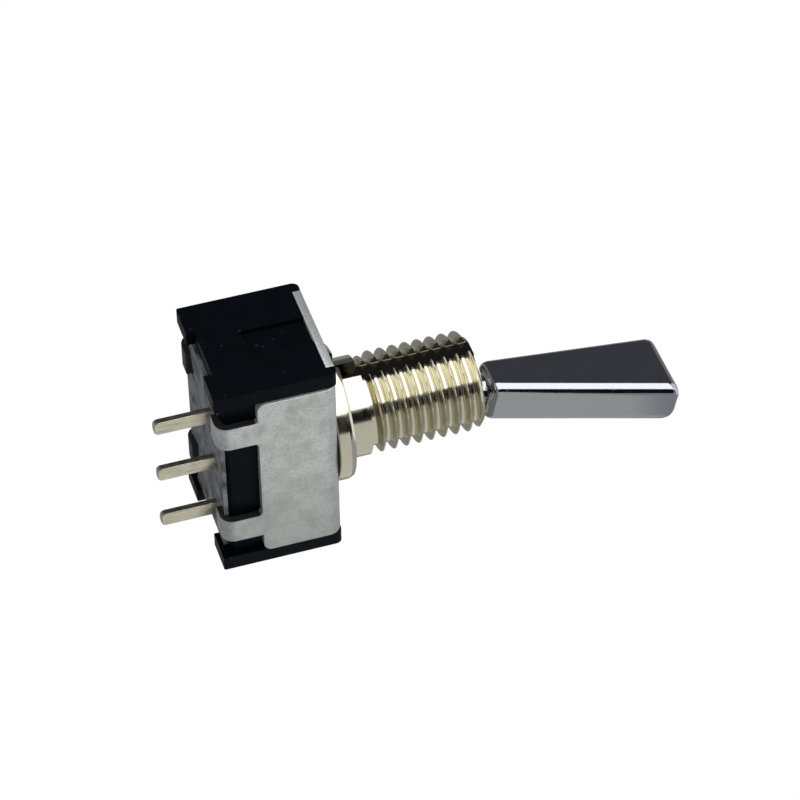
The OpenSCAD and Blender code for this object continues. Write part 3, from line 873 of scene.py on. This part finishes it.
    def build(self, material: bpy.types.Material) -> None:
        """Makes the bushing and hands it over.

        Args:
            material: Its finish.
        """
        piece = self.blank()
        tree = self.tree()
        cutting = piece.modifiers.new("thread", "NODES")
        cutting.node_group = tree
        values = {**self.sizes(), "Finish": material}
        for item in tree.interface.items_tree:
            if item.in_out == "INPUT" and item.name in values:
                cutting[item.identifier] = values[item.name]
        graph = bpy.context.evaluated_depsgraph_get()
        cut = bpy.data.meshes.new_from_object(piece.evaluated_get(graph), depsgraph=graph)
        piece.modifiers.clear()
        piece.data = cut
        smooth_by_angle(cut, self.smooth_deg)
        self.flatten_floor(cut)
        hand_over(piece, "bushing", material)

    def flatten_floor(self, mesh: bpy.types.Mesh) -> None:
        """Shades the keyway's floor flat, so that its rounded sides put no streaks on it.

        Args:
            mesh: The bushing's mesh.
        """
        outward = Vector((0.0, -1.0, 0.0))
        for face in mesh.polygons:
            off_floor = abs(face.center.y + self.key_floor * MM)
            tilt = math.degrees(face.normal.angle(outward))
            if off_floor < self.floor_reach * MM and tilt < self.floor_deg:
                face.use_smooth = False


# ---------------------------------------------------------------- the handle


@dataclass
class PaddleHandle:
    """Flat handle that widens towards its tip, with a larger round across the tip."""

    base_w: float = 2.78
    tip_w: float = 4.86
    thick: float = 2.7
    length: float = 11.815
    base_s: float = 5.36
    edge_r: float = 0.6
    tip_r: float = 0.9
    pivot_z: float = 3.5
    tilt: float = 12.0
    segments: int = 10

    def half_width(self, s: float) -> float:
        """Half width of the sharp-edged paddle, whose rounds then touch the CAD outline.

        Args:
            s: Distance from the handle's base, in mm.

        Returns:
            Half of its width there.
        """
        r = self.edge_r
        spread = (self.tip_w - self.base_w) / 2
        slope = math.atan2(spread, self.length - 2 * r)
        centre = self.base_w / 2 - r + (s - r) * math.tan(slope)
        return centre + r / math.cos(slope)

    def build(self, material: bpy.types.Material) -> None:
        """Makes the handle at its rest angle and hands it over.

        Args:
            material: Its finish.
        """
        solid = bmesh.new()
        bmesh.ops.create_cube(solid, size=1.0)
        for vert in solid.verts:
            s = (vert.co.z + 0.5) * self.length
            side = math.copysign(1.0, vert.co.x)
            vert.co = Vector((side * self.half_width(s), vert.co.y * self.thick, s + self.base_s))
        rounds = solid.edges.layers.float.new("bevel_weight_edge")
        for edge in solid.edges:
            first, second = (vert.co for vert in edge.verts)
            across_tip = first.x * second.x < 0 and first.z > self.base_s + self.length / 2
            edge[rounds] = 1.0 if across_tip else self.edge_r / self.tip_r
        lean = (Matrix.Translation((0.0, 0.0, self.pivot_z))
                @ Matrix.Rotation(math.radians(-self.tilt), 4, "X"))
        bmesh.ops.transform(solid, matrix=lean, verts=solid.verts)
        piece = new_object("paddle_handle", mesh_from_bmesh("paddle_handle", solid))
        ease_edges(piece, self.tip_r, self.segments).limit_method = "WEIGHT"
        hand_over(piece, "handle", material)


# ---------------------------------------------------------------- the resin


@dataclass
class SealingResin:
    """Poured resin over the base: an uneven face that climbs a little at the pins and walls."""

    cell: float = 0.11
    sink: float = 0.09
    climb: float = 0.28
    swell_size: float = 1.3
    swell: float = 0.05
    dimple_size: float = 0.45
    dimple: float = 0.03
    foot_gap: float = 5.2
    leg_w: float = 1.6
    leg_pitch: float = 7.3
    seal_gap: float = 0.1
    corner_w: float = 2.9
    body_l: float = 11.6
    pin_t: float = 0.42
    pin_w: float = 0.9
    digits: int = 4
    smooth_deg: float = 60.0

    def __post_init__(self) -> None:
        """Takes the resin's box and the places of the pins from the CAD nodes."""
        self.low, self.high = box_mm("terminal_seal")
        pin_high = box_mm("terminal_common")[1]
        self.pin_x = pin_high.x - self.pin_t / 2
        self.pins = [sum(box_mm(n), Vector()).y / 2
                     for n in ("terminal_a", "terminal_common", "terminal_b")]

    def holes(self) -> list[Rectangle]:
        """Rectangles that hold no resin: pins, feet, end notches and outer corners.

        Returns:
            Low X, low Y, high X and high Y of each.
        """
        narrow = self.foot_gap / 2 - self.seal_gap
        reach = self.leg_w / 2 + self.seal_gap
        found = [(self.pin_x - self.pin_t / 2, y - self.pin_w / 2,
                  self.pin_x + self.pin_t / 2, y + self.pin_w / 2) for y in self.pins]
        for side in (-1, 1):
            for leg in (-1, 1):
                xs = sorted((side * narrow, side * self.high.x))
                y = leg * self.leg_pitch / 2
                found.append((xs[0], y - reach, xs[1], y + reach))
                ys = sorted((leg * self.body_l / 2, leg * self.high.y))
                xs = sorted((0.0, side * self.high.x))
                found.append((xs[0], ys[0], xs[1], ys[1]))
                ys = sorted((y + leg * reach, leg * self.body_l / 2))
                xs = sorted((side * self.corner_w, side * self.high.x))
                found.append((xs[0], ys[0], xs[1], ys[1]))
        return found

    def lines(self, axis: int, holes: Iterable[Rectangle]) -> list[float]:
        """Grid lines across one axis, through every edge of the plan.

        Args:
            axis: 0 for X and 1 for Y.
            holes: The plan's holes.

        Returns:
            Sorted places, no further apart than a cell.
        """
        stops = {self.low[axis], self.high[axis]}
        for hole in holes:
            stops |= {hole[axis], hole[axis + 2]}
        stops = sorted(round(s, self.digits) for s in stops)
        found = [stops[0]]
        for a, b in zip(stops, stops[1:]):
            count = max(1, math.ceil((b - a) / self.cell))
            found += [a + (b - a) * i / count for i in range(1, count + 1)]
        return found

    def outer_z(self, x: float, y: float) -> float:
        """Height of the resin's outer face.

        Args:
            x: Place across the switch.
            y: Place along it.

        Returns:
            Z, never below the CAD face.
        """
        edge = min(self.high.x - abs(x), self.body_l / 2 - abs(y))
        pin = min(math.hypot(max(0.0, abs(x - self.pin_x) - self.pin_t / 2),
                             max(0.0, abs(y - p) - self.pin_w / 2)) for p in self.pins)
        near = min(max(0.0, edge), pin)
        wet = math.exp(-(near / self.climb) ** 2)
        place = Vector((x, y, 0.0))
        swell = noise.noise(place / self.swell_size) * self.swell
        dimple = noise.noise(place / self.dimple_size) * self.dimple
        return max(self.low.z, self.low.z + (self.sink + swell + dimple) * (1 - wet))

    def build(self, material: bpy.types.Material) -> None:
        """Makes the resin as a grid of cells with walls at its edges, and hands it over.

        Args:
            material: Its finish.
        """
        holes = self.holes()
        xs, ys = self.lines(0, holes), self.lines(1, holes)
        solid = bmesh.new()
        cache: dict[tuple[int, int, bool], bmesh.types.BMVert] = {}

        def vert(i: int, j: int, inner: bool) -> bmesh.types.BMVert:
            """Vertex at a grid crossing, on the inner or the outer face."""
            key = (i, j, inner)
            if key not in cache:
                z = self.high.z if inner else self.outer_z(xs[i], ys[j])
                cache[key] = solid.verts.new((xs[i], ys[j], z))
            return cache[key]

        def filled(i: int, j: int) -> bool:
            """Whether a cell holds resin."""
            if not (0 <= i < len(xs) - 1 and 0 <= j < len(ys) - 1):
                return False
            x, y = (xs[i] + xs[i + 1]) / 2, (ys[j] + ys[j + 1]) / 2
            return not any(h[0] < x < h[2] and h[1] < y < h[3] for h in holes)

        for i in range(len(xs) - 1):
            for j in range(len(ys) - 1):
                if not filled(i, j):
                    continue
                corners = [(i, j), (i + 1, j), (i + 1, j + 1), (i, j + 1)]
                for inner in (False, True):
                    order = corners if inner else corners[::-1]
                    solid.faces.new([vert(a, b, inner) for a, b in order])
                beside = [(i, j - 1), (i + 1, j), (i, j + 1), (i - 1, j)]
                for k, cell in enumerate(beside):
                    if not filled(*cell):
                        a, b = corners[k], corners[(k + 1) % 4]
                        solid.faces.new((vert(*a, False), vert(*b, False), vert(*b, True),
                                         vert(*a, True)))
        piece = new_object("sealing_resin", mesh_from_bmesh("sealing_resin", solid))
        smooth_by_angle(piece.data, self.smooth_deg)
        hand_over(piece, "terminal_seal", material)


# ---------------------------------------------------------------- eased copies of CAD nodes


@dataclass(frozen=True)
class EasedNode:
    """A CAD node whose shape is right but for its sharp edges.

    Attributes:
        node: The CAD node.
        name: Name of the piece that stands for it.
        slot: Its material slot.
        radius: Radius of its edges, in mm.
    """

    node: str
    name: str
    slot: Slot
    radius: float

    def build(self, material: bpy.types.Material) -> None:
        """Copies the node, rounds its edges and hands it over.

        Args:
            material: Its finish.
        """
        piece = merged_copy(self.node, self.name)
        ease_edges(piece, self.radius)
        hand_over(piece, self.node, material)


EASED_NODES = (
    EasedNode("housing", "moulded_housing", Slot.HOUSING, 0.06),
    EasedNode("frame", "folded_frame", Slot.STEEL, 0.05),
    EasedNode("terminal_common", "common_pin", Slot.PIN, 0.14),
    EasedNode("terminal_a", "outer_pin_a", Slot.PIN, 0.14),
    EasedNode("terminal_b", "outer_pin_b", Slot.PIN, 0.14),
)


@dataclass(frozen=True)
class PressedSpring:
    """Coil spring behind the plunger.

    Attributes:
        node: The CAD node.
        name: Name of the piece that stands for it.
        joint: The plunger's slide; not used.
        smooth_deg: Sharpest edge that is shaded smooth, in degrees.
    """

    node: str = "plunger_spring"
    name: str = "pressed_spring"
    joint: str = "plunger_slide"
    smooth_deg: float = 50.0

    def build(self, material: bpy.types.Material) -> None:
        """Copies the node, hands it over and gives it a mesh of its own.

        Args:
            material: Its finish.
        """
        piece = merged_copy(self.node, self.name)
        smooth_by_angle(piece.data, self.smooth_deg)
        hand_over(piece, self.node, material)
        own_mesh(piece)


# ---------------------------------------------------------------- the studio


def glow(name: str, shade: str, strength: float = 1.0) -> bpy.types.Material:
    """Material that shows one colour whatever the light.

    Args:
        name: Name of the material.
        shade: Its colour, sRGB hex.
        strength: Factor on the colour.

    Returns:
        The material.
    """
    material = empty_material(name)
    tree = material.node_tree
    light = add_node(tree, "ShaderNodeEmission", {"Color": linear(shade), "Strength": strength})
    add_node(tree, "ShaderNodeOutputMaterial", {"Surface": light})
    return material


def direction(azimuth: float, elevation: float) -> Vector:
    """Unit vector to an azimuth, from +X towards +Y, and an elevation, both in degrees."""
    a, e = math.radians(azimuth), math.radians(elevation)
    return Vector((math.cos(e) * math.cos(a), math.cos(e) * math.sin(a), math.sin(e)))


def level_sheet(name: str, size: float, gap: float,
                material: bpy.types.Material) -> bpy.types.Object:
    """Lays a square sheet under the object.

    Args:
        name: Name of the sheet.
        size: Its side, in mm.
        gap: Distance below the object, in mm.
        material: What it is made of.

    Returns:
        The sheet.
    """
    low = CAD_BOX[0][2] - gap * MM
    half = size / 2 * MM
    mesh = bpy.data.meshes.new(name)
    mesh.from_pydata([(-half, -half, low), (half, -half, low), (half, half, low),
                      (-half, half, low)], [], [(0, 1, 2, 3)])
    mesh.materials.append(material)
    return new_object(name, mesh)


def reflect_only(sheet: bpy.types.Object) -> None:
    """Makes a sheet seen in reflections only."""
    sheet.visible_camera = False
    sheet.visible_diffuse = False
    sheet.visible_shadow = False
    sheet.visible_transmission = False


@dataclass(frozen=True)
class Card:
    """A curved card around the object, which its polished faces mirror.

    Attributes:
        name: Name of the card.
        azimuth: First and last azimuth in degrees, from +X towards +Y.
        elevation: First and last elevation in degrees.
        shade: Colour that it shows, sRGB hex.
        distance: Distance from the origin, in mm.
        strength: Brightness of the card; above 1 its mirror image is burnt out.
        steps: Faces along each side.
    """

    name: str
    azimuth: tuple[float, float]
    elevation: tuple[float, float]
    shade: str
    distance: float = 95.0
    strength: float = 1.0
    steps: int = 12

    def point(self, u: float, v: float) -> Vector:
        """Point of the card at shares u of its azimuth and v of its elevation, in mm."""
        azimuth = self.azimuth[0] + (self.azimuth[1] - self.azimuth[0]) * u
        elevation = self.elevation[0] + (self.elevation[1] - self.elevation[0]) * v
        return direction(azimuth, elevation) * self.distance

    def build(self) -> None:
        """Makes the card, seen by reflections only."""
        sheet = bmesh.new()
        count = self.steps
        grid = [[sheet.verts.new(self.point(i / count, j / count)) for j in range(count + 1)]
                for i in range(count + 1)]
        for i in range(count):
            for j in range(count):
                sheet.faces.new((grid[i][j], grid[i][j + 1], grid[i + 1][j + 1], grid[i + 1][j]))
        card = new_object(self.name, mesh_from_bmesh(self.name, sheet))
        card.data.materials.append(glow(self.name, self.shade, self.strength))
        reflect_only(card)


@dataclass(frozen=True)
class Lamp:
    """A soft square lamp, which no reflection shows.

    Attributes:
        name: Name of the lamp.
        azimuth: Where it hangs, in degrees from +X towards +Y.
        elevation: How high it hangs, in degrees.
        power: Its power, in watts.
        size: Its side, in mm.
        distance: Distance from the origin, in mm.
    """

    name: str
    azimuth: float
    elevation: float
    power: float
    size: float
    distance: float = 160.0

    def build(self) -> None:
        """Hangs the lamp so that it faces the object."""
        data = bpy.data.lights.new(self.name, "AREA")
        data.energy, data.size = self.power, self.size * MM
        lamp = bpy.data.objects.new(self.name, data)
        place = direction(self.azimuth, self.elevation)
        lamp.location = place * self.distance * MM
        lamp.rotation_euler = place.to_track_quat("Z", "Y").to_euler()
        lamp.visible_glossy = False
        bpy.context.scene.collection.objects.link(lamp)


@dataclass
class Studio:
    """Pale floor, white surround, soft lamps, cards and the camera."""

    floor_size: float = 900.0
    floor_gap: float = 0.05
    floor_shade: str = "#f4f4f2"
    floor_roughness: float = 0.8
    mat_size: float = 160.0
    mat_shade: str = "#8a8a8c"
    surround_shade: str = "#ffffff"
    surround_light: float = 0.55
    lens: float = 157.51
    sensor: float = 36.0
    nearest: float = 1.0
    farthest: float = 10000.0
    camera_at: ThreeValues = (139.689, -140.058, -39.126)
    camera_right: ThreeValues = (0.30430, 0.01145, 0.95251)
    camera_up: ThreeValues = (-0.65763, -0.72088, 0.21876)
    camera_back: ThreeValues = (0.68915, -0.69296, -0.21184)
    lamps: tuple[Lamp, ...] = (
        Lamp("key", -75.0, 32.0, 0.10, 110.0),
        Lamp("fill", 40.0, 24.0, 0.055, 120.0),
        Lamp("top", 150.0, 65.0, 0.05, 120.0),
    )
    cards: tuple[Card, ...] = (
        Card("black_flag_left", (-180.0, -110.0), (-35.0, 66.0), "#4e4e52"),
        Card("softbox", (-110.0, -35.0), (-12.0, 66.0), "#ffffff", strength=2.0),
        Card("black_flag_front", (-35.0, -4.0), (-30.0, 19.0), "#0e0e0f"),
        Card("black_flag_high", (-35.0, 12.0), (19.0, 60.0), "#161617"),
        Card("grey_card_right", (-4.0, 105.0), (-12.0, 19.0), "#c8c8c1"),
        Card("grey_card_high", (12.0, 105.0), (19.0, 60.0), "#a0a0a3"),
        Card("grey_card_back", (105.0, 180.0), (-12.0, 60.0), "#8c8c88"),
    )

    def floor(self) -> None:
        """Makes the floor, which the camera sees from above only."""
        material = empty_material("pale_floor")
        tree = material.node_tree
        paint = add_node(tree, "ShaderNodeBsdfPrincipled", {
            "Base Color": linear(self.floor_shade), "Roughness": self.floor_roughness})
        clear = add_node(tree, "ShaderNodeBsdfTransparent")
        rays = add_node(tree, "ShaderNodeLightPath").outputs
        back = add_node(tree, "ShaderNodeNewGeometry").outputs
        hidden = add_node(tree, "ShaderNodeMath", (rays["Is Camera Ray"], back["Backfacing"]),
                          operation="MULTIPLY")
        mix = add_node(tree, "ShaderNodeMixShader", (hidden, paint, clear))
        add_node(tree, "ShaderNodeOutputMaterial", {"Surface": mix})
        level_sheet("floor", self.floor_size, self.floor_gap, material)

    def mat(self) -> None:
        """Lays a grey mat on the floor that only reflections see, so that shiny undersides dim."""
        material = glow("grey_mat", self.mat_shade)
        reflect_only(level_sheet("mat", self.mat_size, self.floor_gap / 2, material))

    def surround(self) -> None:
        """Makes the world: white to the eye and to reflections, softer as light."""
        world = bpy.data.worlds.new("white_surround")
        bpy.context.scene.world = world
        world.use_nodes = True
        tree = world.node_tree
        tree.nodes.clear()
        rays = add_node(tree, "ShaderNodeLightPath").outputs
        seen = add_node(tree, "ShaderNodeMath", (rays["Is Camera Ray"], rays["Is Glossy Ray"]),
                        operation="MAXIMUM")
        seen = add_node(tree, "ShaderNodeMath", (seen, rays["Is Transmission Ray"]),
                        operation="MAXIMUM")
        strength = add_node(tree, "ShaderNodeMapRange", (
            seen, 0.0, 1.0, self.surround_light, 1.0))
        light = add_node(tree, "ShaderNodeBackground", {
            "Color": linear(self.surround_shade), "Strength": strength})
        add_node(tree, "ShaderNodeOutputWorld", {"Surface": light})

    def camera(self) -> None:
        """Sets the camera."""
        data = bpy.data.cameras.new("camera")
        data.lens, data.sensor_width = self.lens, self.sensor
        data.clip_start, data.clip_end = self.nearest * MM, self.farthest * MM
        camera = bpy.data.objects.new("camera", data)
        turn = Matrix((self.camera_right, self.camera_up, self.camera_back)).transposed()
        camera.matrix_world = Matrix.Translation(Vector(self.camera_at) * MM) @ turn.to_4x4()
        bpy.context.scene.collection.objects.link(camera)
        bpy.context.scene.camera = camera

    def build(self) -> None:
        """Sets up everything around the object."""
        self.camera()
        self.floor()
        self.mat()
        self.surround()
        for thing in (*self.lamps, *self.cards):
            thing.build()
        bpy.context.scene.view_settings.view_transform = "Standard"
        LOG.info("studio: %d lamps and %d cards", len(self.lamps), len(self.cards))


# ---------------------------------------------------------------- the whole


def dress_nodes(materials: dict[Slot, bpy.types.Material]) -> None:
    """Gives every CAD node the finish of its slot.

    Args:
        materials: Material of each slot.
    """
    for subpart in frame["record"]["subparts"]:
        node = frame["nodes"][subpart["node"]]
        for slot in node.material_slots:
            slot.material = materials[Slot(subpart["material_slot"])]
    LOG.info("dressed %d nodes", len(frame["nodes"]))


def main() -> None:
    """Builds the studio and every piece."""
    logging.basicConfig(level=logging.INFO, format="%(name)s: %(message)s")
    Studio().build()
    materials = {slot: finish.build() for slot, finish in FINISHES.items()}
    dress_nodes(materials)
    ThreadedBushing().build(materials[Slot.NICKEL])
    PaddleHandle().build(materials[Slot.CHROME])
    SealingResin().build(materials[Slot.RESIN])
    for eased in EASED_NODES:
        eased.build(materials[eased.slot])
    PressedSpring().build(materials[Slot.SPRING])


if __name__ == "__main__":
    main()
